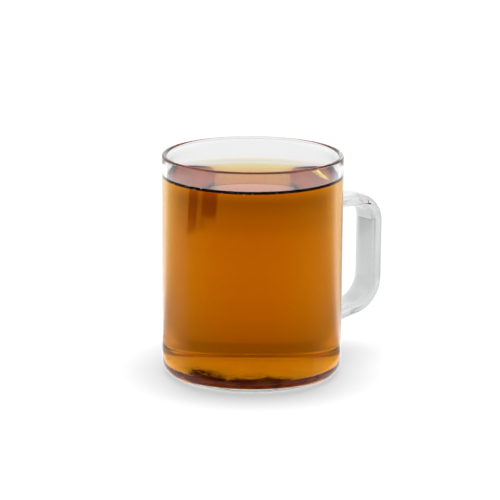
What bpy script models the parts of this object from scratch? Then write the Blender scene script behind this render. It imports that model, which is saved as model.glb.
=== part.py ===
"""Glass cup of tea: a straight-sided clear glass mug with a fused strap handle, filled with black tea.

Metres, +Z up. The origin is the centre of the mug's underside and the handle points along +X.
"""

import math

import bmesh
import bpy

# Driving sizes of the glass
MUG_RADIUS = 0.0400
MUG_HEIGHT = 0.0988
WALL = 0.0021
FLOOR_THICKNESS = 0.0028
BASE_CORNER = 0.0055
INNER_CORNER = 0.0048
FLOOR_DOME = 0.0006
SEGMENTS = 88

# Driving sizes of the tea
TEA_LEVEL = 0.0877
MENISCUS_RISE = 0.0024
MENISCUS_REACH = 0.0024
MENISCUS_WIDTH = 0.0084
CLEARANCE = 0.0003

# Driving sizes of the handle, a flat strap that runs out, down and back to the wall
STRAP_WIDTH = 0.0159
STRAP_THICKNESS = 0.0056
STRAP_TOP = 0.0724
STRAP_BOTTOM = 0.0185
STRAP_OUT = 0.0645
LOWER_ARM_DROP = 0.0055
UPPER_BEND = 0.0109
LOWER_BEND = 0.0140
ROOT_DEPTH = 0.0017
STRAP_ROOT = MUG_RADIUS - ROOT_DEPTH
FLARE_LENGTH = 0.0050
FLARE_GAIN = 0.28
STRAP_SIDES = 20
BEND_STEPS = 8
FLARE_STEPS = 3
STRAP_SQUARENESS = 3.2

# Steps along the rounded parts of the turned profiles
CORNER_STEPS = 6
LIP_STEPS = 8
MENISCUS_STEPS = 5
DOME_STEPS = 4

INNER_RADIUS = MUG_RADIUS - WALL
MERGE_DISTANCE = 0.00001

# Finishes: colour, roughness and how strongly each bends light
GLASS_COLOUR = (0.93, 0.95, 0.95, 1.0)
GLASS_ROUGHNESS = 0.02
GLASS_IOR = 1.47
TEA_COLOUR = (0.40, 0.10, 0.006, 1.0)
TEA_ROUGHNESS = 0.03
TEA_IOR = 1.333


def clear_scene():
    """Empty the file of whatever it starts with."""
    for obj in list(bpy.data.objects):
        bpy.data.objects.remove(obj, do_unlink=True)


def new_collection(name):
    """Make a collection directly under the scene's own."""
    collection = bpy.data.collections.new(name)
    bpy.context.scene.collection.children.link(collection)
    return collection


def clear_material(name, colour, roughness, ior):
    """A smooth, see-through material for glass or a drink."""
    material = bpy.data.materials.new(name)
    material.use_nodes = True
    shader = material.node_tree.nodes["Principled BSDF"]
    shader.inputs["Base Color"].default_value = colour
    shader.inputs["Roughness"].default_value = roughness
    shader.inputs["Metallic"].default_value = 0.0
    shader.inputs["IOR"].default_value = ior
    shader.inputs["Transmission Weight"].default_value = 1.0
    return material


def arc(centre, radius, start, end, steps):
    """Points along a circular arc in a plane, angles in degrees, both ends included."""
    points = []
    for step in range(steps + 1):
        angle = math.radians(start + (end - start) * step / steps)
        points.append((centre[0] + radius * math.cos(angle), centre[1] + radius * math.sin(angle)))
    return points


def floor_height(radius):
    """Height of the mug's inner floor, which swells very slightly towards its middle."""
    flat = INNER_RADIUS - INNER_CORNER
    share = min(radius / flat, 1.0)
    return FLOOR_THICKNESS + FLOOR_DOME * (0.5 + 0.5 * math.cos(math.pi * share))


def floor_points(lift):
    """Points of the inner floor from the axis out to the start of its corner."""
    flat = INNER_RADIUS - INNER_CORNER
    radii = [flat * step / DOME_STEPS for step in range(DOME_STEPS)]
    return [(radius, floor_height(radius) + lift) for radius in radii]


def mug_profile():
    """Section of the glass from the inner floor, up over the lip and down the outside to the axis."""
    lip_radius = WALL / 2
    inner_corner_centre = (INNER_RADIUS - INNER_CORNER, FLOOR_THICKNESS + INNER_CORNER)
    lip_centre = (MUG_RADIUS - lip_radius, MUG_HEIGHT - lip_radius)
    base_centre = (MUG_RADIUS - BASE_CORNER, BASE_CORNER)
    profile = floor_points(0.0)
    profile += arc(inner_corner_centre, INNER_CORNER, -90, 0, CORNER_STEPS)
    profile += arc(lip_centre, lip_radius, 180, 0, LIP_STEPS)
    profile += arc(base_centre, BASE_CORNER, 0, -90, CORNER_STEPS)
    profile.append((0.0, 0.0))
    return profile


def meniscus_height(radius):
    """Height of the tea's surface, which climbs a little where it wets the wall."""
    to_wall = INNER_RADIUS - CLEARANCE - radius
    return TEA_LEVEL + MENISCUS_RISE * math.exp(-to_wall / MENISCUS_REACH)


def tea_profile():
    """Section of the tea from the middle of its surface, down the wall and in over the floor."""
    side = INNER_RADIUS - CLEARANCE
    corner = INNER_CORNER - CLEARANCE
    corner_centre = (side - corner, FLOOR_THICKNESS + CLEARANCE + corner)
    profile = [(0.0, TEA_LEVEL)]
    for step in range(MENISCUS_STEPS + 1):
        radius = side - MENISCUS_WIDTH * (1 - step / MENISCUS_STEPS) ** 2
        profile.append((radius, meniscus_height(radius)))
    profile += arc(corner_centre, corner, 0, -90, CORNER_STEPS)
    profile += reversed(floor_points(CLEARANCE))
    return profile


def turned(name, profile, material, collection):
    """Turn a section about the Z axis into one closed round body."""
    mesh = bpy.data.meshes.new(name)
    vertices = [(radius, 0.0, height) for radius, height in profile]
    edges = [(index, index + 1) for index in range(len(vertices) - 1)]
    mesh.from_pydata(vertices, edges, [])
    mesh.materials.append(material)
    obj = bpy.data.objects.new(name, mesh)
    collection.objects.link(obj)
    screw = obj.modifiers.new("turn", "SCREW")
    screw.axis = "Z"
    screw.angle = math.tau
    screw.steps = SEGMENTS
    screw.render_steps = SEGMENTS
    screw.use_merge_vertices = True
    screw.merge_threshold = MERGE_DISTANCE
    screw.use_smooth_shade = True
    return obj


def rounded_turn(before, corner, after, radius):
    """Points of an arc of the given radius that rounds off a corner between two straight runs."""
    to_before = ((before[0] - corner[0]), (before[1] - corner[1]))
    to_after = ((after[0] - corner[0]), (after[1] - corner[1]))
    first = math.atan2(to_before[1], to_before[0])
    second = math.atan2(to_after[1], to_after[0])
    opening = (second - first + math.pi) % math.tau - math.pi
    middle = first + opening / 2
    to_centre = radius / math.sin(abs(opening) / 2)
    centre = (corner[0] + to_centre * math.cos(middle), corner[1] + to_centre * math.sin(middle))
    turn = math.pi - abs(opening)
    facing = middle + math.pi
    sign = -1.0 if opening > 0 else 1.0
    start = math.degrees(facing - sign * turn / 2)
    end = math.degrees(facing + sign * turn / 2)
    return arc(centre, radius, start, end, BEND_STEPS)


def flare_points(root, towards):
    """A few points just outside the wall, where the strap swells into it."""
    run = math.dist(root, towards)
    points = []
    for step in range(FLARE_STEPS + 1):
        share = FLARE_LENGTH * step / FLARE_STEPS / run
        points.append(tuple(a + (b - a) * share for a, b in zip(root, towards)))
    return points


def strap_route():
    """Middle line of the handle in its own plane, from its upper root to its lower one."""
    upper_root = (STRAP_ROOT, STRAP_TOP)
    upper_corner = (STRAP_OUT, STRAP_TOP)
    lower_corner = (STRAP_OUT, STRAP_BOTTOM + LOWER_ARM_DROP)
    lower_root = (STRAP_ROOT, STRAP_BOTTOM)
    route = flare_points(upper_root, upper_corner)
    route += rounded_turn(upper_root, upper_corner, lower_corner, UPPER_BEND)
    route += rounded_turn(upper_corner, lower_corner, lower_root, LOWER_BEND)
    route += reversed(flare_points(lower_root, lower_corner))
    return route


def strap_section():
    """Outline of the strap, a soft rectangle, as thickness and width."""
    power = 2.0 / STRAP_SQUARENESS
    outline = []
    for step in range(STRAP_SIDES):
        angle = math.tau * step / STRAP_SIDES
        across, along = math.cos(angle), math.sin(angle)
        thick = math.copysign(abs(across) ** power, across) * STRAP_THICKNESS / 2
        wide = math.copysign(abs(along) ** power, along) * STRAP_WIDTH / 2
        outline.append((thick, wide))
    return outline


def flare_at(distance, length):
    """How many times its usual size the strap is, by distance along its middle line."""
    from_root = min(distance, length - distance)
    share = max(0.0, 1.0 - from_root / FLARE_LENGTH)
    return 1.0 + FLARE_GAIN * share * share


def strap_guide(name, points, collection, closed):
    """A flat polyline curve in the XY plane."""
    curve = bpy.data.curves.new(name, "CURVE")
    curve.dimensions = "2D"
    curve.fill_mode = "NONE"
    spline = curve.splines.new("POLY")
    spline.points.add(len(points) - 1)
    for point, (x, y) in zip(spline.points, points):
        point.co = (x, y, 0.0, 1.0)
    spline.use_cyclic_u = closed
    guide = bpy.data.objects.new(name, curve)
    collection.objects.link(guide)
    return guide


def strap_mesh(collection):
    """The handle as a closed mesh, swept along its route and standing in the XZ plane."""
    route = strap_route()
    section = strap_guide("strap_section", strap_section(), collection, True)
    rail = strap_guide("strap_rail", route, collection, False)
    rail.data.dimensions = "3D"
    rail.data.twist_mode = "Z_UP"
    rail.data.bevel_mode = "OBJECT"
    rail.data.bevel_object = section
    rail.data.use_fill_caps = True
    steps = [math.dist(a, b) for a, b in zip(route, route[1:])]
    length = sum(steps)
    distance = 0.0
    for point, step in zip(rail.data.splines[0].points, steps + [0.0]):
        point.radius = flare_at(distance, length)
        distance += step
    rail.rotation_euler = (math.radians(90), 0.0, 0.0)
    bpy.context.view_layer.update()
    graph = bpy.context.evaluated_depsgraph_get()
    mesh = bpy.data.meshes.new_from_object(rail.evaluated_get(graph))
    mesh.transform(rail.matrix_world)
    for guide in (rail, section):
        bpy.data.objects.remove(guide, do_unlink=True)
    strap = bmesh.new()
    strap.from_mesh(mesh)
    bmesh.ops.remove_doubles(strap, verts=strap.verts, dist=MERGE_DISTANCE)
    bmesh.ops.recalc_face_normals(strap, faces=strap.faces)
    strap.to_mesh(mesh)
    strap.free()
    return mesh


def fuse(body, piece):
    """Join a piece to a body as one solid."""
    union = body.modifiers.new("fuse_" + piece.name, "BOOLEAN")
    union.operation = "UNION"
    union.solver = "EXACT"
    union.object = piece
    piece.hide_render = True
    piece.display_type = "WIRE"


def build_mug(collection, helpers):
    """The glass: a turned vessel with its strap handle fused to the wall."""
    glass = clear_material("glass", GLASS_COLOUR, GLASS_ROUGHNESS, GLASS_IOR)
    mug = turned("glass_mug", mug_profile(), glass, collection)
    strap = bpy.data.objects.new("strap", strap_mesh(helpers))
    helpers.objects.link(strap)
    fuse(mug, strap)
    return mug


def build_tea(collection):
    """The drink, filling the mug to its level with a raised edge where it wets the glass."""
    tea = clear_material("tea", TEA_COLOUR, TEA_ROUGHNESS, TEA_IOR)
    return turned("tea", tea_profile(), tea, collection)


def main():
    """Build the mug and its tea."""
    clear_scene()
    cup = new_collection("glass_cup_of_tea")
    helpers = new_collection("helpers")
    build_mug(cup, helpers)
    build_tea(cup)


main()
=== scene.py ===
"""Glass cup of tea, dressed: a clear strap-handled mug of black tea with its bubbles and settled dust.

Metres, +Z up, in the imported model's frame. The mug stands on its axis and the handle points along +X.
"""

import logging
import math
import random
from collections.abc import Callable, Iterable
from dataclasses import dataclass
from enum import Enum
from functools import cached_property

import bmesh
import bpy
from bmesh.types import BMFace, BMVert
from bpy.types import Material
from mathutils import Matrix, Vector, noise


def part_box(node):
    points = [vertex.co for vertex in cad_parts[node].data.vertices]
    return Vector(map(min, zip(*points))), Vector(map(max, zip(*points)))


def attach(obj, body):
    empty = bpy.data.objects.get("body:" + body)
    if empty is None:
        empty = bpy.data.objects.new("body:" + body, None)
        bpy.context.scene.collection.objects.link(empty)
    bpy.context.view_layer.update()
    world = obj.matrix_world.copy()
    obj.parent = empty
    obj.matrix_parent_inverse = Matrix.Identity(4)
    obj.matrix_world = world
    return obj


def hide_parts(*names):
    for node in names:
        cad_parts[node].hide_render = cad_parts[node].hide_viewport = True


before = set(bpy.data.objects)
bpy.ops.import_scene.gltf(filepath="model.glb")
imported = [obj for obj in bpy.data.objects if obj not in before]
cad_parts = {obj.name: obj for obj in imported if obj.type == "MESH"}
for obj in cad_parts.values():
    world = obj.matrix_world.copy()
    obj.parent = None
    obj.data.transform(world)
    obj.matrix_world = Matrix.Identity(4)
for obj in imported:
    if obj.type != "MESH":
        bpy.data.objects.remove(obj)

log = logging.getLogger("glass_cup_of_tea")

MERGE_DISTANCE = 0.000001
CREASE = math.radians(35.0)
BODY = "root"

Socket = bpy.types.NodeSocket
Outputs = bpy.types.bpy_prop_collection
Piece = bpy.types.Object
Colour = tuple[float, float, float, float]
Span = tuple[float, float]
Stops = tuple[Span, ...]
Feed = float | tuple[float, ...] | Vector | Socket

WHITE: Colour = (1.0, 1.0, 1.0, 1.0)
UPRIGHT = (0.0, 0.0, 1.0)
OUT_TO_HANDLE = (1.0, 0.0, 0.0)


class Slot(Enum):
    """The record's material slots."""

    CLEAR_GLASS = "clear_glass"
    BLACK_TEA = "black_tea"


class NodeSheet:
    """Places nodes in one node tree and joins their sockets."""

    def __init__(self, tree: bpy.types.NodeTree) -> None:
        """Keep the tree that the nodes go into."""
        self.tree = tree

    def feed(self, socket: Socket, value: Feed) -> None:
        """Link a socket to another one, or set its own value.

        Args:
            socket: The input to feed.
            value: An output socket, a number, a colour or a vector.
        """
        if isinstance(value, Socket):
            self.tree.links.new(value, socket)
        else:
            socket.default_value = value

    def place(self, kind: str, feeds: dict[str | int, Feed] | None = None, **settings: object) -> bpy.types.Node:
        """Add a node.

        Args:
            kind: The node's type name.
            feeds: What goes into its inputs, by socket name or number.
            **settings: The node's own properties.

        Returns:
            The new node.
        """
        node = self.tree.nodes.new(kind)
        for name, value in settings.items():
            setattr(node, name, value)
        for socket, value in (feeds or {}).items():
            self.feed(node.inputs[socket], value)
        return node

    def calculate(self, operation: str, *terms: Feed) -> Socket:
        """One step of arithmetic on numbers or sockets."""
        return self.place("ShaderNodeMath", dict(enumerate(terms)), operation=operation).outputs[0]

    def times(self, first: Feed, second: Feed) -> Socket:
        """One number or socket times another."""
        return self.calculate("MULTIPLY", first, second)

    def unsigned(self, value: Feed) -> Socket:
        """A number without its sign."""
        return self.calculate("ABSOLUTE", value)

    def own_place(self) -> Socket:
        """Where the shaded point lies, in the piece's own coordinates."""
        return self.place("ShaderNodeTexCoord").outputs["Object"]

    def along(self, place: Socket, direction: Feed) -> Socket:
        """How far a place lies along a direction."""
        dot = self.place("ShaderNodeVectorMath", {0: place, 1: direction}, operation="DOT_PRODUCT")
        return dot.outputs["Value"]

    def ease(self, value: Feed, span: Span, low: float = 0.0, high: float = 1.0) -> Socket:
        """A soft step from a low level before the span to a high one after it."""
        feeds = {"Value": value, "From Min": span[0], "From Max": span[1], "To Min": low, "To Max": high}
        return self.place("ShaderNodeMapRange", feeds, interpolation_type="SMOOTHSTEP").outputs["Result"]

    def ramp(self, value: Feed, stops: Stops, curve: str = "EASE") -> Socket:
        """A grey level read from a row of stops.

        Args:
            value: What is looked up, from 0 to 1.
            stops: Pairs of position and level.
            curve: How it runs between the stops.

        Returns:
            The level.
        """
        node = self.place("ShaderNodeValToRGB", {0: value})
        node.color_ramp.interpolation = curve
        elements = node.color_ramp.elements
        while len(elements) < len(stops):
            elements.new(1.0)
        for element, (position, level) in zip(elements, stops):
            element.position = position
            element.color = (level, level, level, 1.0)
        return node.outputs["Color"]

    def choose(self, share: Feed, usual: Feed, other: Feed) -> Socket:
        """Usual where the share is 0, other where it is 1."""
        return self.place("ShaderNodeMix", {0: share, 2: usual, 3: other}, data_type="FLOAT").outputs[0]

    def mix_colours(self, share: Feed, first: Feed, second: Feed) -> Socket:
        """The first colour where the share is 0, the second where it is 1."""
        feeds = {0: share, 6: first, 7: second}
        return self.place("ShaderNodeMix", feeds, data_type="RGBA", clamp_factor=True).outputs[2]


class EffectGroups:
    """The shader node groups that more than one finish uses, each built once."""

    @staticmethod
    def begin(name: str, inputs: dict[str, float], outputs: Iterable[str]) -> NodeSheet:
        """Open a new group with its sockets.

        Args:
            name: The group's name.
            inputs: Number inputs with their usual values.
            outputs: Names of the number outputs.

        Returns:
            The sheet to fill.
        """
        tree = bpy.data.node_groups.new(name, "ShaderNodeTree")
        for title, usual in inputs.items():
            socket = tree.interface.new_socket(title, in_out="INPUT", socket_type="NodeSocketFloat")
            socket.default_value = usual
        for title in outputs:
            tree.interface.new_socket(title, in_out="OUTPUT", socket_type="NodeSocketFloat")
        return NodeSheet(tree)

    @cached_property
    def drawn_waviness(self) -> bpy.types.NodeTree:
        """The long, faint unevenness of a surface that was liquid: drawn glass or a resting drink.

        Returns:
            A group that puts out a height from 0 to 1 and a smear mask.
        """
        usual = {"Scale": 60.0, "Upright Stretch": 0.25, "Smear Scale": 140.0}
        sheet = self.begin("drawn_waviness", usual, ("Height", "Smear"))
        given = sheet.place("NodeGroupInput").outputs
        stretch = sheet.place("ShaderNodeCombineXYZ", {"X": 1.0, "Y": 1.0, "Z": given["Upright Stretch"]})
        feeds = {0: sheet.own_place(), 1: stretch.outputs[0]}
        drawn = sheet.place("ShaderNodeVectorMath", feeds, operation="MULTIPLY").outputs[0]
        feeds = {"Vector": drawn, "Scale": given["Scale"], "Detail": 1.0, "Roughness": 0.4}
        waves = sheet.place("ShaderNodeTexNoise", feeds).outputs["Fac"]
        feeds = {"Vector": drawn, "Scale": given["Smear Scale"], "Detail": 4.0, "Distortion": 1.2}
        smears = sheet.place("ShaderNodeTexNoise", feeds).outputs["Fac"]
        seldom = (0.52, 0.78)
        sheet.place("NodeGroupOutput", {"Height": waves, "Smear": sheet.ease(smears, seldom)})
        return sheet.tree

    @cached_property
    def fine_speckle(self) -> bpy.types.NodeTree:
        """The fine grain of tea dust, of the painted edge shade and of the bubbles' painted highlight.

        Returns:
            A group that puts out a broad tone, a fine grain and a height.
        """
        usual = {"Broad Scale": 220.0, "Grain Scale": 2600.0}
        sheet = self.begin("fine_speckle", usual, ("Tone", "Grain", "Height"))
        given = sheet.place("NodeGroupInput").outputs
        place = sheet.own_place()
        feeds = {"Vector": place, "Scale": given["Broad Scale"], "Detail": 3.0}
        broad = sheet.place("ShaderNodeTexNoise", feeds).outputs["Fac"]
        feeds = {"Vector": place, "Scale": given["Grain Scale"]}
        grain = sheet.place("ShaderNodeTexVoronoi", feeds).outputs["Distance"]
        clear_cut, broad_height = (0.35, 0.65), 0.6
        height = sheet.calculate("MULTIPLY_ADD", broad, broad_height, grain)
        sheet.place("NodeGroupOutput", {"Tone": sheet.ease(broad, clear_cut), "Grain": grain, "Height": height})
        return sheet.tree


EFFECTS = EffectGroups()


def new_finish(name: str) -> tuple[Material, NodeSheet, bpy.types.Node]:
    """Start a material.

    Args:
        name: The finish's name.

    Returns:
        The material, the sheet of its nodes and its Principled shader.
    """
    material = bpy.data.materials.new(name)
    material.use_nodes = True
    return material, NodeSheet(material.node_tree), material.node_tree.nodes["Principled BSDF"]


@dataclass(frozen=True)
class ClearMatter:
    """What the glass and the tea share: clear all through, with a faintly waved and smeared surface."""

    name: str
    ior: float
    wave_scale: float
    upright_stretch: float
    wave_strength: float
    smear_roughness: float
    wave_height: float = 0.0004
    head_on_shine: Colour = (0.0, 0.0, 0.0, 1.0)

    def clear_finish(self) -> tuple[Material, NodeSheet, bpy.types.Node, Socket]:
        """Start the material with its clearness, waves and smears.

        Returns:
            The material, the sheet of its nodes, its shader and the mask of its smears.
        """
        material, sheet, shader = new_finish(self.name)
        feeds = {"Scale": self.wave_scale, "Upright Stretch": self.upright_stretch}
        waves = sheet.place("ShaderNodeGroup", feeds, node_tree=EFFECTS.drawn_waviness).outputs
        feeds = {"Strength": self.wave_strength, "Distance": self.wave_height, "Height": waves["Height"]}
        bump = sheet.place("ShaderNodeBump", feeds)
        sheet.feed(shader.inputs["Roughness"], sheet.times(waves["Smear"], self.smear_roughness))
        sheet.feed(shader.inputs["Normal"], bump.outputs["Normal"])
        shader.inputs["Base Color"].default_value = WHITE
        shader.inputs["IOR"].default_value = self.ior
        shader.inputs["Transmission Weight"].default_value = 1.0
        shader.inputs["Specular Tint"].default_value = self.head_on_shine
        return material, sheet, shader, waves["Smear"]


@dataclass(frozen=True)
class FirePolishedGlass(ClearMatter):
    """Clear borosilicate glass, a little wavy from drawing, with painted shade in its handle: greys that deepen
    further out stand in for the darker surroundings the handle shows by refraction.

    The spans say how far out towards the handle each painted grey comes in.
    """

    name: str = "fire_polished_glass"
    ior: float = 1.47
    wave_scale: float = 45.0
    upright_stretch: float = 0.25
    wave_strength: float = 0.012
    smear_roughness: float = 0.012
    smeared: Colour = (0.985, 0.99, 0.99, 1.0)
    # Painted shade: the greys of the handle's arm, strap and outer face, not a colour of the glass.
    arm_painted_shade: Colour = (0.93, 0.935, 0.935, 1.0)
    arm_shade_span: Span = (0.0400, 0.0412)
    strap: Colour = (0.775, 0.78, 0.785, 1.0)
    strap_shade_span: Span = (0.0500, 0.0600)
    outer_face_painted_shade: Colour = (0.58, 0.585, 0.59, 1.0)
    outer_shade_span: Span = (0.0630, 0.0665)

    def material(self) -> Material:
        """Build the material.

        Returns:
            The clear glass.
        """
        material, sheet, shader, smear = self.clear_finish()
        outward = sheet.along(sheet.own_place(), OUT_TO_HANDLE)
        smear_and_painted_shade = sheet.mix_colours(smear, WHITE, self.smeared)
        # Painted shade: greys laid over the arm, strap and outer face stand in for darker surroundings seen through
        # the handle.
        smear_and_painted_shade = sheet.mix_colours(sheet.ease(outward, self.arm_shade_span), smear_and_painted_shade, self.arm_painted_shade)
        smear_and_painted_shade = sheet.mix_colours(sheet.ease(outward, self.strap_shade_span), smear_and_painted_shade, self.strap)
        smear_and_painted_shade = sheet.mix_colours(sheet.ease(outward, self.outer_shade_span), smear_and_painted_shade, self.outer_face_painted_shade)
        sheet.feed(shader.inputs["Base Color"], smear_and_painted_shade)
        return material


@dataclass(frozen=True)
class BrewedTea(ClearMatter):
    """Clear black tea: amber where it is thin, brown where it is deep."""

    name: str = "brewed_tea"
    ior: float = 1.333
    wave_scale: float = 70.0
    upright_stretch: float = 1.0
    wave_strength: float = 0.01
    smear_roughness: float = 0.008
    let_through: Colour = (0.935, 0.7725, 0.0, 1.0)
    depth_density: float = 120.0

    def material(self) -> Material:
        """Build the material.

        Returns:
            The tea.
        """
        material, sheet, _, _ = self.clear_finish()
        feeds = {"Color": self.let_through, "Density": self.depth_density}
        depth = sheet.place("ShaderNodeVolumeAbsorption", feeds)
        sheet.feed(sheet.tree.nodes["Material Output"].inputs["Volume"], depth.outputs["Volume"])
        return material


@dataclass(frozen=True)
class SpeckledMatter:
    """A dull speckled solid between two colours, such as tea dust, the painted edge shade or the bubbles' white, a
    painted highlight.
    """

    name: str
    dark: Colour
    pale: Colour
    roughness: float
    bump: float = 0.3
    bump_height: float = 0.0001
    broad_scale: float = 220.0
    grain_share: float = 0.5
    smoothest: float = 0.8
    shine: float = 0.5

    def material(self) -> Material:
        """Build the material.

        Returns:
            The speckled solid.
        """
        material, sheet, shader = new_finish(self.name)
        feeds = {"Broad Scale": self.broad_scale}
        speckle = sheet.place("ShaderNodeGroup", feeds, node_tree=EFFECTS.fine_speckle).outputs
        share = sheet.calculate("MULTIPLY_ADD", speckle["Grain"], self.grain_share, speckle["Tone"])
        feeds = {"Strength": self.bump, "Distance": self.bump_height, "Height": speckle["Height"]}
        bump = sheet.place("ShaderNodeBump", feeds)
        roughness = sheet.ease(speckle["Tone"], (0.0, 1.0), self.roughness * self.smoothest, self.roughness)
        sheet.feed(shader.inputs["Base Color"], sheet.mix_colours(share, self.dark, self.pale))
        sheet.feed(shader.inputs["Roughness"], roughness)
        sheet.feed(shader.inputs["Normal"], bump.outputs["Normal"])
        shader.inputs["Specular IOR Level"].default_value = self.shine
        return material


TEA_DUST = SpeckledMatter("settled_tea_dust", (0.075, 0.005, 0.0, 1.0), (0.25, 0.027, 0.0, 1.0), 0.9, shine=0.0)
# Painted shade: the near-black of the band along the tea's raised edge.
EDGE_SHADE = SpeckledMatter("edge_painted_shade", (0.006, 0.001, 0.0, 1.0), (0.022, 0.004, 0.001, 1.0), 0.6, shine=0.1)
# Painted highlight: the bubbles are real, but their white stands in for the glint that each clear bubble shows.
BUBBLE_HIGHLIGHT_WHITE = SpeckledMatter("bubble_painted_highlight", (0.75, 0.72, 0.66, 1.0), (1.0, 1.0, 0.98, 1.0), 0.25, bump=0.05)


def share_of(value: float, span: Span) -> float:
    """How far a value has come along a span, held between 0 and 1."""
    return min(1.0, max(0.0, (value - span[0]) / (span[1] - span[0])))


def settle(mesh: bmesh.types.BMesh, name: str, material: Material, smooth: bool = True) -> Piece:
    """Finish a bmesh as an object at the origin.

    Args:
        mesh: The modelled shape, which is freed.
        name: The piece's name.
        material: Its finish.
        smooth: Whether its faces are shaded smooth.

    Returns:
        The new object.
    """
    bmesh.ops.remove_doubles(mesh, verts=mesh.verts, dist=MERGE_DISTANCE)
    bmesh.ops.recalc_face_normals(mesh, faces=mesh.faces)
    for face in mesh.faces:
        face.smooth = smooth
    data = bpy.data.meshes.new(name)
    mesh.to_mesh(data)
    mesh.free()
    data.set_sharp_from_angle(angle=CREASE)
    data.materials.append(material)
    piece = bpy.data.objects.new(name, data)
    bpy.context.scene.collection.objects.link(piece)
    return piece


class ProfilePen:
    """Draws half of a round thing's section with a moving vertex, then turns it about the Z axis."""

    def __init__(self, radius: float, height: float) -> None:
        """Set the pen down at a radius and a height."""
        self.mesh = bmesh.new()
        self.tip = self.mesh.verts.new((radius, 0.0, height))

    def line(self, radius: float, height: float, steps: int = 1) -> None:
        """Draw a straight run.

        Args:
            radius: The radius it ends at.
            height: The height it ends at.
            steps: How many equal pieces it has.
        """
        start = self.tip.co.copy()
        end = Vector((radius, 0.0, height))
        for step in range(1, steps + 1):
            drawn = bmesh.ops.extrude_vert_indiv(self.mesh, verts=[self.tip])
            self.tip = drawn["verts"][0]
            self.tip.co = start.lerp(end, step / steps)

    def arc(self, radius: float, height: float, degrees: float, steps: int) -> None:
        """Draw an arc about a centre, clockwise in the section when degrees is above zero.

        Args:
            radius: The centre's radius.
            height: The centre's height.
            degrees: The angle it sweeps.
            steps: How many pieces it has.
        """
        drawn = bmesh.ops.spin(
            self.mesh,
            geom=[self.tip],
            cent=(radius, 0.0, height),
            axis=(0.0, 1.0, 0.0),
            angle=math.radians(degrees),
            steps=steps,
        )
        self.tip = next(item for item in drawn["geom_last"] if isinstance(item, BMVert))

    def follow(self, height_at: Callable[[float], float], radii: Iterable[float]) -> None:
        """Draw a curve that is given by its height at each radius."""
        for radius in radii:
            self.line(radius, height_at(radius))

    def turn(self, segments: int) -> bmesh.types.BMesh:
        """Turn the section all the way round.

        Args:
            segments: How many steps the full turn has.

        Returns:
            The closed round shape.
        """
        section = self.mesh.verts[:] + self.mesh.edges[:]
        full = {"angle": math.tau, "steps": segments, "use_merge": True}
        bmesh.ops.spin(self.mesh, geom=section, cent=(0.0, 0.0, 0.0), axis=UPRIGHT, **full)
        return self.mesh


@dataclass(frozen=True)
class PhotoView:
    """The photograph's camera, matched to the mug's rim, base and handle."""

    handle_turn: float = math.radians(34.0)
    distance: float = 0.9600
    height: float = 0.29797
    aside: float = -0.00098
    pitch: float = 0.24774
    roll: float = 0.0060
    focal_pixels: float = 2232.0
    picture_pixels: float = 500.0
    sensor: float = 36.0

    @property
    def ahead(self) -> Vector:
        """The level direction that the camera looks in."""
        return Vector((math.sin(self.handle_turn), math.cos(self.handle_turn), 0.0))

    @property
    def rightward(self) -> Vector:
        """The level direction to the right of the picture."""
        return Vector((math.cos(self.handle_turn), -math.sin(self.handle_turn), 0.0))

    def place_round(self, radius: float, degrees: float, height: float) -> Vector:
        """A place on a circle about the mug's axis.

        Args:
            radius: The circle's radius.
            degrees: The angle from the point nearest to the camera, growing to the picture's right.
            height: The height above the table.

        Returns:
            The place.
        """
        angle = math.radians(degrees)
        level = self.rightward * math.sin(angle) - self.ahead * math.cos(angle)
        return level * radius + Vector((0.0, 0.0, height))

    def build(self) -> None:
        """Make the camera and give it to the scene."""
        data = bpy.data.cameras.new("photo_camera")
        data.sensor_width = self.sensor
        data.lens = self.focal_pixels / self.picture_pixels * self.sensor
        camera = bpy.data.objects.new("photo_camera", data)
        bpy.context.scene.collection.objects.link(camera)
        place = self.rightward * self.aside - self.ahead * self.distance
        place.z = self.height
        gaze = self.ahead * math.cos(self.pitch)
        gaze.z = -math.sin(self.pitch)
        turn = gaze.to_track_quat("-Z", "Y").to_matrix().to_4x4()
        camera.matrix_world = Matrix.Translation(place) @ turn @ Matrix.Rotation(self.roll, 4, "Z")
        bpy.context.scene.camera = camera


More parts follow.
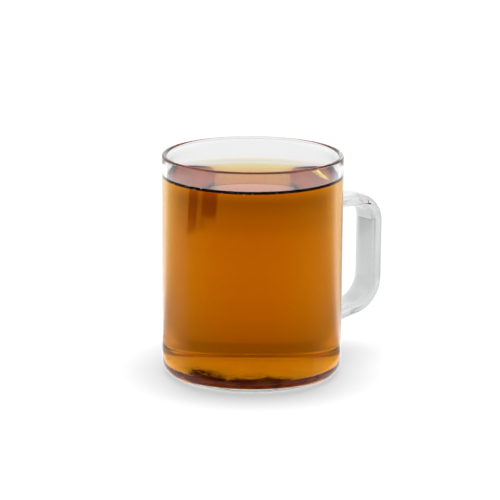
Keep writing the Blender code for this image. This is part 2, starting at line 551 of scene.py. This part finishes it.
@dataclass
class StrapHandle:
    """The flat glass strap that runs out, down and back to the wall."""

    root: float
    reach: float
    width: float = 0.0159
    thickness: float = 0.0056
    top: float = 0.0724
    bottom: float = 0.0185
    lower_arm_drop: float = 0.0055
    upper_bend: float = 0.0109
    lower_bend: float = 0.0140
    flare_length: float = 0.0050
    flare_gain: float = 0.28
    squareness: float = 3.2
    sides: int = 64
    run_steps: int = 12
    flare_steps: int = 14
    bend_steps: int = 26

    @property
    def corners(self) -> list[Vector]:
        """The middle line before its bends.

        Returns:
            The upper root, the two corners and the lower root, in the XZ plane.
        """
        out = self.reach - self.thickness / 2
        return [
            Vector((self.root, 0.0, self.top)),
            Vector((out, 0.0, self.top)),
            Vector((out, 0.0, self.bottom + self.lower_arm_drop)),
            Vector((self.root, 0.0, self.bottom)),
        ]

    def bend(self, before: Vector, corner: Vector, after: Vector, radius: float) -> list[Vector]:
        """Round off a corner of the middle line.

        Args:
            before: A point on the run that comes in.
            corner: The corner.
            after: A point on the run that goes out.
            radius: The bend's radius.

        Returns:
            Points along the bend's arc.
        """
        back = (before - corner).normalized()
        onward = (after - corner).normalized()
        half = back.angle(onward) / 2
        centre = corner + (back + onward).normalized() * (radius / math.sin(half))
        start = (corner + back * (radius / math.tan(half)) - centre).normalized()
        end = (corner + onward * (radius / math.tan(half)) - centre).normalized()
        steps = self.bend_steps
        return [centre + start.slerp(end, step / steps) * radius for step in range(steps + 1)]

    def middle_line(self) -> list[Vector]:
        """Draw the strap's middle.

        Returns:
            Points from its upper root to its lower one.
        """
        upper_root, upper_corner, lower_corner, lower_root = self.corners
        upper = self.bend(upper_root, upper_corner, lower_corner, self.upper_bend)
        lower = self.bend(upper_corner, lower_corner, lower_root, self.lower_bend)
        flare_out = upper_root + (upper_corner - upper_root).normalized() * self.flare_length
        flare_in = lower_root + (lower_corner - lower_root).normalized() * self.flare_length
        line = self.run(upper_root, flare_out, self.flare_steps)
        line += self.run(flare_out, upper[0], self.run_steps)
        line += upper[:-1]
        line += self.run(upper[-1], lower[0], self.run_steps)
        line += lower[:-1]
        line += self.run(lower[-1], flare_in, self.run_steps)
        line += self.run(flare_in, lower_root, self.flare_steps)
        return line + [lower_root]

    @staticmethod
    def run(start: Vector, end: Vector, steps: int) -> list[Vector]:
        """Points along a straight run, without its end."""
        return [start.lerp(end, step / steps) for step in range(steps)]

    def stations(self) -> list[Matrix]:
        """Where each cross-section of the strap stands, with the flare at both roots as scale.

        Returns:
            One matrix for each point of the middle line, its Z axis along the line.
        """
        line = self.middle_line()
        lengths = [0.0]
        for here, there in zip(line, line[1:]):
            lengths.append(lengths[-1] + (there - here).length)
        placed = []
        for index, point in enumerate(line):
            onward = line[min(index + 1, len(line) - 1)] - line[max(index - 1, 0)]
            forward = onward.normalized()
            side = Vector((0.0, 1.0, 0.0))
            outward = side.cross(forward)
            turn = Matrix((outward, side, forward)).transposed().to_4x4()
            from_root = min(lengths[index], lengths[-1] - lengths[index])
            share = max(0.0, 1.0 - from_root / self.flare_length)
            swell = 1.0 + self.flare_gain * share * share
            placed.append(Matrix.Translation(point) @ turn @ Matrix.Scale(swell, 4))
        return placed

    def squared(self, across: float, along: float) -> Vector:
        """Move a point of the unit circle out to the strap's soft rectangle.

        Args:
            across: The point's share of the strap's half thickness.
            along: Its share of the half width.

        Returns:
            The place on the rectangle.
        """
        power = 2.0 / self.squareness
        thick = math.copysign(abs(across) ** power, across) * self.thickness / 2
        wide = math.copysign(abs(along) ** power, along) * self.width / 2
        return Vector((thick, wide, 0.0))

    def build(self, material: Material) -> Piece:
        """Sweep the cross-section along the middle line by extruding its end face.

        Args:
            material: The glass.

        Returns:
            The strap as a closed solid, its roots inside the wall.
        """
        mesh = bmesh.new()
        bmesh.ops.create_circle(mesh, cap_ends=True, segments=self.sides, radius=1.0)
        for vertex in mesh.verts:
            vertex.co = self.squared(vertex.co.x, vertex.co.y)
        stations = self.stations()
        bmesh.ops.transform(mesh, matrix=stations[0], verts=mesh.verts)
        root_cap = cap = mesh.faces[:][0]
        for here, there in zip(stations, stations[1:]):
            grown = bmesh.ops.extrude_face_region(mesh, geom=[cap])["geom"]
            moved = [item for item in grown if isinstance(item, BMVert)]
            bmesh.ops.transform(mesh, matrix=there @ here.inverted(), verts=moved)
            if cap is not root_cap and cap.is_valid:
                bmesh.ops.delete(mesh, geom=[cap], context="FACES_ONLY")
            cap = next(item for item in grown if isinstance(item, BMFace))
        return settle(mesh, "strap", material)


@dataclass
class MugVessel:
    """The clear glass mug: a turned vessel with its strap handle fused to the wall."""

    radius: float
    height: float
    reach: float
    wall: float = 0.0021
    floor_thickness: float = 0.0028
    floor_dome: float = 0.0006
    base_corner: float = 0.0055
    inner_corner: float = 0.0048
    root_depth: float = 0.0017
    segments: int = 256
    corner_steps: int = 14
    wall_steps: int = 24
    lip_steps: int = 22
    base_steps: int = 18
    underside_steps: int = 4

    @property
    def inner_radius(self) -> float:
        """The radius of the mug's inside."""
        return self.radius - self.wall

    @property
    def flat_radius(self) -> float:
        """The radius at which the inner floor starts to turn up."""
        return self.inner_radius - self.inner_corner

    @property
    def floor_shares(self) -> list[float]:
        """Steps out over the floor as shares of its radius, without the middle."""
        return [step / self.corner_steps for step in range(1, self.corner_steps + 1)]

    def floor_height(self, radius: float) -> float:
        """Height of the inner floor, which swells very slightly towards its middle."""
        share = min(radius / self.flat_radius, 1.0)
        return self.floor_thickness + self.floor_dome * (0.5 + 0.5 * math.cos(math.pi * share))

    def turned_body(self, material: Material) -> Piece:
        """Turn the vessel: floor, inner corner, wall, lip, outside and rounded lower edge.

        Args:
            material: The glass.

        Returns:
            The vessel without its handle.
        """
        lip = self.wall / 2
        pen = ProfilePen(0.0, self.floor_height(0.0))
        pen.follow(self.floor_height, [self.flat_radius * share for share in self.floor_shares])
        pen.arc(self.flat_radius, self.floor_thickness + self.inner_corner, -90.0, self.corner_steps)
        pen.line(self.inner_radius, self.height - lip, self.wall_steps)
        pen.arc(self.radius - lip, self.height - lip, 180.0, self.lip_steps)
        pen.line(self.radius, self.base_corner, self.wall_steps)
        pen.arc(self.radius - self.base_corner, self.base_corner, 90.0, self.base_steps)
        pen.line(0.0, 0.0, self.underside_steps)
        return settle(pen.turn(self.segments), "glass_vessel", material)

    def build(self, finish: FirePolishedGlass) -> Piece:
        """Make the vessel, fuse the strap to it and dress it.

        Args:
            finish: The glass.

        Returns:
            The finished mug.
        """
        material = finish.material()
        vessel = self.turned_body(material)
        strap = StrapHandle(self.radius - self.root_depth, self.reach).build(material)
        union = vessel.modifiers.new("fuse_strap", "BOOLEAN")
        union.operation = "UNION"
        union.solver = "EXACT"
        union.object = strap
        bpy.context.view_layer.update()
        graph = bpy.context.evaluated_depsgraph_get()
        fused = bpy.data.meshes.new_from_object(vessel.evaluated_get(graph))
        vessel.modifiers.clear()
        vessel.data = fused
        fused.set_sharp_from_angle(angle=CREASE)
        bpy.data.objects.remove(strap, do_unlink=True)
        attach(vessel, BODY)
        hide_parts("glass_mug")
        return vessel


@dataclass
class TeaFill:
    """The drink, from the mug's floor up to its level, wetting the wall with a raised edge."""

    vessel: MugVessel
    level: float = 0.0877
    capillary_length: float = 0.0026
    wetting_degrees: float = 60.0
    flattest_degrees: float = 0.25
    meniscus_steps: int = 40
    level_rings: int = 8
    into_glass: float = 0.00008
    segments: int = 256

    @property
    def side(self) -> float:
        """The radius the tea reaches, just into the glass."""
        return self.vessel.inner_radius + self.into_glass

    @property
    def contact_height(self) -> float:
        """The height at which the tea's raised edge ends on the glass."""
        return self.surface_points()[-1][1]

    def climb_at(self, tilt: float) -> float:
        """How far the meniscus has climbed where its surface is tilted by an angle in radians."""
        return 2.0 * self.capillary_length * math.sin(tilt / 2.0)

    def wall_distance(self, climb: float) -> float:
        """How far from the wall the meniscus has a given climb, from the balance of weight and tension.

        Args:
            climb: The climb above the level.

        Returns:
            The distance.
        """
        length = self.capillary_length
        top = self.climb_at(math.radians(self.wetting_degrees))
        run = math.acosh(2.0 * length / climb) - math.acosh(2.0 * length / top)
        bow = math.sqrt(4.0 - (top / length) ** 2) - math.sqrt(4.0 - (climb / length) ** 2)
        return length * (run + bow)

    def surface_points(self) -> list[tuple[float, float]]:
        """Radius and height of the surface's rings, from near the middle out to the wall.

        Returns:
            The flat rings and then the meniscus, evenly spaced by its tilt.
        """
        steep, flat = math.radians(self.wetting_degrees), math.radians(self.flattest_degrees)
        points = []
        for step in range(self.meniscus_steps + 1):
            tilt = flat * (steep / flat) ** (step / self.meniscus_steps)
            climb = self.climb_at(tilt)
            points.append((self.vessel.inner_radius - self.wall_distance(climb), self.level + climb))
        first, height = points[0]
        return [(first * ring / self.level_rings, height) for ring in range(1, self.level_rings)] + points

    def build(self, finish: BrewedTea) -> Piece:
        """Turn the tea's section and dress it.

        Args:
            finish: The brew.

        Returns:
            The drink.
        """
        vessel = self.vessel
        flat = self.side - vessel.inner_corner
        corner_height = vessel.floor_thickness - self.into_glass + vessel.inner_corner
        surface = self.surface_points()
        pen = ProfilePen(0.0, surface[0][1])
        for radius, height in surface:
            pen.line(radius, height)
        pen.line(self.side, surface[-1][1])
        pen.line(self.side, corner_height, vessel.wall_steps)
        pen.arc(flat, corner_height, 90.0, vessel.corner_steps)
        radii = [flat * (1.0 - share) for share in vessel.floor_shares]
        pen.follow(lambda radius: vessel.floor_height(radius) - self.into_glass, radii)
        tea = settle(pen.turn(self.segments), "tea_drink", finish.material())
        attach(tea, BODY)
        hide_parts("tea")
        return tea


@dataclass
class SettledDust:
    """Tea dust that sank to the mug's floor: a patchy bed of silt with loose flakes on it.

    Places aside and ahead, as the camera sees them, are shares of the mug's inner radius. On the floor's flat middle
    the bed lies just clear of the glass. Round it the bed sinks into the glass, so that it shows dark through the
    corner.
    """

    vessel: MugVessel
    view: PhotoView
    corner_share: float = 0.9
    front_bow: float = 0.45
    front_span: Span = (-0.20, 0.60)
    heap_aside: float = -0.48
    heap_ahead: float = -0.25
    heap_width: float = 0.035
    heap_length: float = 0.12
    heap_share: float = 0.75
    near_side: Span = (0.05, -0.20)
    wall_span: Span = (0.925, 0.965)
    wall_share: float = 0.95
    patch_scale: float = 120.0
    patch_share: float = 0.30
    patch_gain: float = 3.0
    bed_cells: int = 220
    bed_smoothings: int = 2
    bed_depth: float = 0.00018
    bed_cuts: Span = (0.32, 1.12)
    bed_sink: float = 0.00016
    bed_lift: float = 0.00001
    stuck_from: float = 0.3
    thick_span: Span = (0.6, 1.1)
    thinnest: float = 0.15
    flakes: int = 14000
    stray_flakes: float = 0.02
    smallest: float = 0.00005
    largest: float = 0.00016
    flatness: float = 0.4
    stretch: Span = (0.7, 1.6)
    rise: Span = (0.6, 1.6)
    tilt: float = 0.4
    batch: int = 50
    seed: int = 7

    @property
    def reach(self) -> float:
        """The radius out to which dust lies."""
        return self.vessel.flat_radius + self.vessel.inner_corner * self.corner_share

    def floor_at(self, radius: float) -> float:
        """Find the glass under the tea.

        Args:
            radius: The distance from the mug's axis.

        Returns:
            Its height there, up into the inner corner.
        """
        corner = self.vessel.inner_corner
        past_flat = max(0.0, radius - self.vessel.flat_radius)
        return self.vessel.floor_height(radius) + corner - math.sqrt(corner * corner - past_flat * past_flat)

    def cover_at(self, place: Vector) -> float:
        """How thickly the dust lies at a place, from 0 to about 1.

        Args:
            place: A place on the floor.

        Returns:
            The cover: most along the side nearest to the camera and its wall, with one heap to the left.
        """
        inner_radius = self.vessel.inner_radius
        ahead = place.dot(self.view.ahead) / inner_radius
        aside = place.dot(self.view.rightward) / inner_radius
        front = share_of(-ahead - self.front_bow * aside * aside, self.front_span)
        off_heap = (aside - self.heap_aside) ** 2 / self.heap_width
        off_heap += (ahead - self.heap_ahead) ** 2 / self.heap_length
        by_wall = share_of(place.length / inner_radius, self.wall_span) * share_of(ahead, self.near_side)
        roughness, gap, octaves = 1.0, 2.0, 4
        patches = noise.fractal(place * self.patch_scale, roughness, gap, octaves)
        solid = front * front + self.heap_share * math.exp(-off_heap) + self.wall_share * by_wall
        return solid + self.patch_share * patches * min(1.0, front * self.patch_gain)

    def build(self, finish: SpeckledMatter) -> list[Piece]:
        """Lay the bed and scatter the flakes.

        Args:
            finish: The dust.

        Returns:
            The bed and the flakes.
        """
        material = finish.material()
        pieces = [self.build_bed(material), self.build_flakes(material)]
        for piece in pieces:
            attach(piece, BODY)
        return pieces

    def build_bed(self, material: Material) -> Piece:
        """Lay the silt: a fine grid cut back to ragged patches, each raised to its own depth.

        Args:
            material: The dust.

        Returns:
            The bed.
        """
        mesh = bmesh.new()
        bmesh.ops.create_grid(mesh, x_segments=self.bed_cells, y_segments=self.bed_cells, size=self.reach)
        draw = random.Random(self.seed)
        bare = []
        for face in mesh.faces:
            centre = face.calc_center_median()
            if centre.length > self.reach or self.cover_at(centre) < draw.uniform(*self.bed_cuts):
                bare.append(face)
        bmesh.ops.delete(mesh, geom=bare, context="FACES")
        for _ in range(self.bed_smoothings):
            bmesh.ops.smooth_vert(mesh, verts=mesh.verts, factor=0.5, use_axis_x=True, use_axis_y=True)
        raised = bmesh.ops.extrude_face_region(mesh, geom=mesh.faces[:])["geom"]
        tops = {item for item in raised if isinstance(item, BMVert)}
        stuck_radius = self.vessel.flat_radius + self.vessel.inner_corner * self.stuck_from
        for vertex in mesh.verts:
            place = vertex.co.copy()
            vertex.co.z = self.floor_at(min(place.length, self.reach))
            if vertex in tops:
                vertex.co.z += self.bed_depth * max(self.thinnest, share_of(self.cover_at(place), self.thick_span))
            else:
                vertex.co.z += -self.bed_sink if place.length > stuck_radius else self.bed_lift
        return settle(mesh, "dust_bed", material)

    def build_flakes(self, material: Material) -> Piece:
        """Scatter the loose flakes over the floor, a batch at a time.

        Args:
            material: The dust.

        Returns:
            All flakes as one piece.
        """
        draw = random.Random(self.seed)
        mesh = bmesh.new()
        batch_data = bpy.data.meshes.new("dust_batch")
        for _ in range(self.flakes // self.batch):
            heap = bmesh.new()
            for _ in range(self.batch):
                flake = self.draw_flake(draw)
                bmesh.ops.create_uvsphere(heap, u_segments=4, v_segments=2, radius=1.0, matrix=flake)
            heap.to_mesh(batch_data)
            heap.free()
            mesh.from_mesh(batch_data)
        bpy.data.meshes.remove(batch_data)
        return settle(mesh, "dust_flakes", material, smooth=False)

    def draw_flake(self, draw: random.Random) -> Matrix:
        """Draw one flake's place, turn and size.

        Args:
            draw: The seeded random numbers.

        Returns:
            The matrix that makes the flake from a unit ball.
        """
        while True:
            angle = draw.uniform(0.0, math.tau)
            radius = self.reach * math.sqrt(draw.random())
            place = Vector((radius * math.cos(angle), radius * math.sin(angle), 0.0))
            if draw.random() < self.stray_flakes + self.cover_at(place):
                break
        size = self.smallest + (self.largest - self.smallest) * draw.random() ** 2
        place.z = self.floor_at(radius) + size * self.flatness * draw.uniform(*self.rise)
        lean = Matrix.Rotation(draw.uniform(-self.tilt, self.tilt), 4, "X")
        turn = lean @ Matrix.Rotation(draw.uniform(0, math.tau), 4, "Z")
        shape = Matrix.Diagonal((size * draw.uniform(*self.stretch), size, size * self.flatness, 1.0))
        return Matrix.Translation(place) @ turn @ shape


@dataclass
class EdgeShadeBand:
    """Painted shade: a thin near-black band on the near side of the tea's raised edge, standing in for the dark line
    that edge shows there.
    """

    tea: TeaFill
    view: PhotoView
    spread: float = 97.0
    drop: float = 0.00010
    depth: float = 0.00120
    taper_from: float = 80.0
    taper: float = 0.9
    inside: float = 0.00003
    outside: float = 0.00002
    ragged: float = 0.00012
    ragged_scale: float = 900.0
    steps: int = 220

    def share_at(self, place: Vector) -> float:
        """How much of its full depth the band has at a place: all in front, little at its ends."""
        turned = math.degrees(abs(math.atan2(place.dot(self.view.rightward), -place.dot(self.view.ahead))))
        return 1.0 - self.taper * share_of(turned, (self.taper_from, self.spread))

    def build(self, finish: SpeckledMatter) -> Piece:
        """Sweep the band's thin section round the wall, then taper and roughen its lower edge.

        Args:
            finish: The band's near-black colour, a painted shade.

        Returns:
            The band.
        """
        top = self.tea.contact_height - self.drop
        inner = self.tea.vessel.inner_radius
        start = self.view.place_round(inner, -self.spread, top - self.depth / 2)
        outward = Vector((start.x, start.y, 0.0)).normalized()
        stand = Matrix((outward, UPRIGHT, outward.cross(UPRIGHT))).transposed().to_4x4()
        section = Matrix.Diagonal(((self.inside + self.outside) / 2, self.depth / 2, 1.0, 1.0))
        middle = Matrix.Translation(start + outward * ((self.outside - self.inside) / 2))
        mesh = bmesh.new()
        bmesh.ops.create_grid(mesh, x_segments=1, y_segments=1, size=1.0, matrix=middle @ stand @ section)
        geometry = mesh.verts[:] + mesh.edges[:] + mesh.faces[:]
        sweep = {"angle": math.radians(2.0 * self.spread), "steps": self.steps}
        bmesh.ops.spin(mesh, geom=geometry, cent=(0.0, 0.0, 0.0), axis=UPRIGHT, **sweep)
        for vertex in mesh.verts:
            if vertex.co.z < top - self.depth / 2:
                place = Vector((vertex.co.x, vertex.co.y, 0.0))
                wave = noise.noise(place * self.ragged_scale) * self.ragged
                vertex.co.z = top - (self.depth + wave) * self.share_at(place)
        shade_band = settle(mesh, "edge_shade_band", finish.material())
        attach(shade_band, BODY)
        return shade_band


@dataclass
class EdgeBubbles:
    """Tiny bubbles caught where the tea meets the glass, painted white as a highlight."""

    tea: TeaFill
    view: PhotoView
    count: int = 24
    spread: float = 88.0
    smallest: float = 0.00018
    largest: float = 0.00042
    out_of_wall: float = 0.7
    under_edge: Span = (0.0002, 0.0015)
    seed: int = 11

    def build(self, finish: SpeckledMatter) -> Piece:
        """Set the bubbles along the tea line and dress them.

        Args:
            finish: The bubbles' white, a painted highlight.

        Returns:
            All bubbles as one piece.
        """
        draw = random.Random(self.seed)
        mesh = bmesh.new()
        for _ in range(self.count):
            size = draw.uniform(self.smallest, self.largest)
            radius = self.tea.vessel.inner_radius - size * self.out_of_wall
            height = self.tea.contact_height - draw.uniform(*self.under_edge)
            place = self.view.place_round(radius, draw.uniform(-self.spread, self.spread), height)
            bmesh.ops.create_icosphere(mesh, subdivisions=2, radius=size, matrix=Matrix.Translation(place))
        bubbles = settle(mesh, "edge_bubbles", finish.material())
        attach(bubbles, BODY)
        return bubbles


@dataclass(frozen=True)
class LitPoint:
    """A point of the table and the light path that found it, as sockets.

    The point has its distance from the mug's axis, how far it lies ahead, and the sine of its angle to the right.
    """

    sheet: NodeSheet
    path: Outputs
    distance: Socket
    ahead: Socket
    aside: Socket

    @classmethod
    def read(cls, sheet: NodeSheet, view: PhotoView) -> "LitPoint":
        """Place the nodes that know the point.

        Args:
            sheet: The table's nodes.
            view: The camera.

        Returns:
            The point.
        """
        place = sheet.own_place()
        distance = sheet.place("ShaderNodeVectorMath", {0: place}, operation="LENGTH").outputs["Value"]
        aside = sheet.calculate("DIVIDE", sheet.along(place, view.rightward), distance)
        path = sheet.place("ShaderNodeLightPath").outputs
        return cls(sheet, path, distance, sheet.along(place, view.ahead), aside)

    @property
    def off_middle(self) -> Socket:
        """How far to either side it lies."""
        return self.sheet.unsigned(self.aside)


@dataclass(frozen=True)
class PaleStudio:
    """A plain pale table under soft light, with a bright backdrop all round.

    Table and backdrop glow by themselves, and are lit apart for the camera, for what shows through the mug and for
    what the tea mirrors. A span is where a soft step begins and ends. Stops pair a place with its brightness.
    """

    view: PhotoView
    table_radius: float = 6.0
    table_sides: int = 96
    table_drop: float = 0.00015
    table_glow: float = 1.06
    contact_reach: float = 0.028
    contact_samples: int = 8
    deepest_contact: float = 0.58
    lift_span: Span = (0.45, 1.0)
    side_lift: float = 0.36
    footprint_span: Span = (0.0220, 0.0250)
    straight_down: Span = (0.00021, 0.00023)
    under_mug: float = 0.05
    halfway_span: Span = (-0.012, 0.012)
    front_table: float = 1.05
    back_table: Stops = (
        *((0.0, 0.45), (0.056, 0.45), (0.064, 0.60), (0.080, 0.68), (0.113, 0.78), (0.150, 0.85), (0.200, 0.885)),
        *((0.250, 0.85), (0.300, 0.70), (0.350, 0.55), (0.385, 0.92), (0.430, 0.92), (0.470, 0.86), (1.0, 0.86)),
    )
    side_table: Stops = (
        *((0.0, 0.70), (0.056, 0.76), (0.100, 0.86), (0.187, 0.94), (0.307, 0.98), (0.346, 1.0), (1.0, 1.0)),
    )
    side_span: Span = (0.35, 0.80)
    side_gain: float = 1.6
    side_colour: Colour = (0.77, 1.14, 0.96, 1.0)
    mug_radius: float = 0.040
    least_gap: float = 0.001
    steep_span: Span = (1.25, 1.8)
    steep_aside: Span = (0.35, 0.6)
    steep_table: float = 0.95
    steep_from: Span = (0.0745, 0.0775)
    steep_colour: Colour = (0.87, 0.96, 1.46, 1.0)
    pane_left: Span = (0.143, 0.163)
    pane_right: Span = (0.362, 0.352)
    pane_bar: float = 0.258
    bar_span: Span = (0.010, 0.024)
    bar_shade: float = 0.40
    pane_near: Span = (0.348, 0.398)
    pane_far: Span = (0.400, 0.420)
    pane_slant: float = 0.18
    pane_wobble: float = 0.10
    wobble_scale: float = 22.0
    pane_colour: Colour = (0.61, 0.41, 0.30, 1.0)
    mirrored_table: Stops = (
        *((0.0, 0.42), (0.04, 0.48), (0.08, 0.68), (0.11, 0.90), (0.16, 1.70), (0.20, 1.50), (0.30, 1.30)),
        *((0.80, 0.95), (0.83, 1.05), (0.90, 1.60), (0.925, 1.35), (0.945, 0.80), (0.965, 0.38), (0.985, 0.18)),
        (1.0, 0.02),
    )
    mirrored_from: Span = (-0.034, -0.027)
    mirrored_front: float = 0.01
    mirrored_edge: Span = (0.052, 0.060)
    mirrored_near: float = 1.3
    backdrop: float = 1.2
    overhead_span: Span = (0.55, 0.85)
    through_low: float = 0.9
    through_high: float = 0.25
    band_start: Span = (0.02, 0.20)
    band_end: Span = (0.40, 0.70)
    mirror_low: float = 1.15
    mirror_band: float = 1.3
    mirror_high: float = 0.3
    layers: int = 64

    @staticmethod
    def through_tea(sheet: NodeSheet, path: Outputs) -> Socket:
        """1 for light that crossed more faces of glass than the strap or one wall has."""
        strap_or_wall = (2.4, 2.6)
        return sheet.ease(path["Transmission Depth"], strap_or_wall)

    def gain_beside(self, sheet: NodeSheet, path: Outputs) -> Socket:
        """How many times brighter the light boxes at the sides are for light that comes through the tea."""
        return sheet.choose(self.through_tea(sheet, path), 1.0, self.side_gain)

    def towards_sides(self, sheet: NodeSheet, aside: Feed) -> Socket:
        """0 straight behind the mug, 1 at the picture's sides, where the light boxes are."""
        return sheet.ease(sheet.unsigned(aside), self.side_span)

    def shade_window(self, point: LitPoint) -> Socket:
        """The shade of a window's two panes that lies on the table behind the mug.

        Args:
            point: The lit point.

        Returns:
            0 in full light, 1 in the shade.
        """
        sheet = point.sheet
        place = sheet.own_place()
        ratio = sheet.calculate("DIVIDE", sheet.along(place, self.view.rightward), point.ahead)
        feeds = {"Vector": place, "Scale": self.wobble_scale, "Detail": 1.0}
        wobble = sheet.place("ShaderNodeTexNoise", feeds).outputs["Fac"]
        panes = sheet.times(sheet.ease(ratio, self.pane_left), sheet.ease(ratio, self.pane_right))
        off_bar = sheet.unsigned(sheet.calculate("SUBTRACT", ratio, self.pane_bar))
        panes = sheet.times(panes, sheet.ease(off_bar, self.bar_span, self.bar_shade))
        slanted = sheet.calculate("MULTIPLY_ADD", wobble, self.pane_wobble, point.ahead)
        slanted = sheet.calculate("MULTIPLY_ADD", ratio, self.pane_slant, slanted)
        reach = sheet.times(sheet.ease(slanted, self.pane_near), sheet.ease(point.ahead, self.pane_far, 1.0, 0.0))
        return sheet.times(panes, reach)

    def steepness(self, point: LitPoint) -> Socket:
        """Tell light that comes down steeply from the tea's surface from light that comes level through the mug.

        Args:
            point: The lit point.

        Returns:
            1 for steep light behind the mug, 0 for level light and at the sides.
        """
        sheet = point.sheet
        gap = sheet.calculate("SUBTRACT", point.distance, self.mug_radius)
        gap = sheet.calculate("MAXIMUM", gap, self.least_gap)
        steep = sheet.ease(sheet.calculate("DIVIDE", point.path["Ray Length"], gap), self.steep_span)
        return sheet.times(steep, sheet.ease(point.off_middle, self.steep_aside, 1.0, 0.0))

    def glow_seen(self, point: LitPoint) -> Socket:
        """The table's glow as the camera sees it, with the contact shadow, fainter at the sides.

        Args:
            point: The lit point.

        Returns:
            The glow.
        """
        sheet = point.sheet
        feeds = {"Distance": self.contact_reach}
        contact = sheet.place("ShaderNodeAmbientOcclusion", feeds, samples=self.contact_samples)
        lifted = sheet.ease(point.off_middle, self.lift_span, 0.0, self.side_lift)
        seen = sheet.times(sheet.choose(lifted, contact.outputs["AO"], 1.0), self.table_glow)
        return sheet.calculate("MAXIMUM", seen, self.deepest_contact)

    def glow_through(self, point: LitPoint, steep: Socket) -> Socket:
        """The table's glow as it shows through glass and tea, dark under the mug.

        Args:
            point: The lit point.
            steep: 1 for steep light.

        Returns:
            The glow.
        """
        sheet = point.sheet
        beside = sheet.times(sheet.ramp(point.distance, self.side_table), self.gain_beside(sheet, point.path))
        behind = sheet.ramp(point.distance, self.back_table)
        behind = sheet.choose(self.towards_sides(sheet, point.aside), behind, beside)
        behind = sheet.choose(steep, behind, self.steep_table)
        through = sheet.choose(sheet.ease(point.ahead, self.halfway_span), self.front_table, behind)
        under = sheet.ease(point.distance, self.footprint_span, self.under_mug)
        upright = sheet.ease(point.path["Ray Length"], self.straight_down, self.under_mug)
        return sheet.times(through, sheet.times(under, upright))

    def glow_mirrored(self, point: LitPoint) -> Socket:
        """The table's glow as glass and tea mirror it, dark in front of the mug but for a ring close to it.

        Args:
            point: The lit point.

        Returns:
            The glow.
        """
        sheet = point.sheet
        left_to_right = sheet.calculate("MULTIPLY_ADD", point.aside, 0.5, 0.5)
        across = sheet.ramp(left_to_right, self.mirrored_table, "LINEAR")
        mirrored = sheet.times(across, sheet.ease(point.ahead, self.mirrored_from, self.mirrored_front))
        return sheet.choose(sheet.ease(point.distance, self.mirrored_edge), self.mirrored_near, mirrored)

    def table_material(self) -> Material:
        """The table's finish: pale, with the mug's soft contact shadow.

        Returns:
            The material.
        """
        material, sheet, shader = new_finish("pale_table")
        sheet.tree.nodes.remove(shader)
        point = LitPoint.read(sheet, self.view)
        in_mirror, through_tea = point.path["Is Reflection Ray"], self.through_tea(sheet, point.path)
        steep = self.steepness(point)
        glow = sheet.choose(in_mirror, self.glow_through(point, steep), self.glow_mirrored(point))
        glow = sheet.choose(point.path["Is Camera Ray"], glow, self.glow_seen(point))
        beside = sheet.times(self.towards_sides(sheet, point.aside), sheet.ease(point.ahead, self.halfway_span))
        beside = sheet.choose(in_mirror, sheet.times(beside, through_tea), 0.0)
        colour = sheet.mix_colours(beside, WHITE, self.side_colour)
        colour = sheet.mix_colours(sheet.times(through_tea, self.shade_window(point)), colour, self.pane_colour)
        cool = sheet.times(steep, sheet.ease(point.distance, self.steep_from))
        cool = sheet.choose(in_mirror, sheet.times(cool, through_tea), 0.0)
        colour = sheet.mix_colours(cool, colour, self.steep_colour)
        light = sheet.place("ShaderNodeEmission", {"Color": colour, "Strength": glow})
        sheet.feed(sheet.tree.nodes["Material Output"].inputs["Surface"], light.outputs["Emission"])
        return material

    def build_table(self) -> None:
        """Make the table that the mug stands on."""
        mesh = bmesh.new()
        lower = Matrix.Translation((0.0, 0.0, -self.table_drop))
        size = {"segments": self.table_sides, "radius": self.table_radius}
        bmesh.ops.create_circle(mesh, cap_ends=True, matrix=lower, **size)
        table = settle(mesh, "pale_table", self.table_material(), smooth=False)

    def build_light(self) -> None:
        """Make the soft light that comes from all round."""
        world = bpy.data.worlds.new("soft_studio_light")
        bpy.context.scene.world = world
        world.use_nodes = True
        sheet = NodeSheet(world.node_tree)
        path = sheet.place("ShaderNodeLightPath").outputs
        direction = sheet.place("ShaderNodeTexCoord").outputs["Generated"]
        rise = sheet.along(direction, UPRIGHT)
        sides = self.towards_sides(sheet, sheet.along(direction, self.view.rightward))
        through = sheet.ease(rise, self.overhead_span, self.through_low, self.through_high)
        through = sheet.times(through, sheet.choose(sides, 1.0, self.gain_beside(sheet, path)))
        band = sheet.ease(rise, self.band_start, self.mirror_low, self.mirror_band)
        above = sheet.ease(rise, self.band_end, self.mirror_band, self.mirror_high)
        mirrored = sheet.calculate("MINIMUM", band, above)
        glow = sheet.choose(path["Is Reflection Ray"], through, mirrored)
        background = sheet.tree.nodes["Background"].inputs
        background["Color"].default_value = WHITE
        sheet.feed(background["Strength"], sheet.choose(path["Is Camera Ray"], glow, self.backdrop))

    def allow_deep_light(self) -> None:
        """Let light pass through as many layers of glass and tea as it meets."""
        cycles = bpy.context.scene.cycles
        cycles.max_bounces = cycles.transmission_bounces = cycles.glossy_bounces = self.layers

    def build(self) -> None:
        """Set up the table, the light and how colours are shown."""
        self.build_table()
        self.build_light()
        self.allow_deep_light()
        bpy.context.scene.view_settings.view_transform = "Standard"


def report(piece: Piece) -> None:
    """Say in the log what was built."""
    log.info("%s: %d faces", piece.name, len(piece.data.polygons))


def main() -> None:
    """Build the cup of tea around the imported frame."""
    logging.basicConfig(level=logging.INFO, format="%(name)s: %(message)s")
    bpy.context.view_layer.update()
    log.info("frame: %s", ", ".join(sorted(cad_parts)))
    view = PhotoView()
    view.build()
    PaleStudio(view).build()
    low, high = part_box("glass_mug")
    vessel = MugVessel(radius=-low.x, height=high.z, reach=high.x)
    report(vessel.build(FirePolishedGlass()))
    tea = TeaFill(vessel)
    report(tea.build(BrewedTea()))
    for piece in SettledDust(vessel, view).build(TEA_DUST):
        report(piece)
    report(EdgeShadeBand(tea, view).build(EDGE_SHADE))
    report(EdgeBubbles(tea, view).build(BUBBLE_HIGHLIGHT_WHITE))


if __name__ == "__main__":
    main()
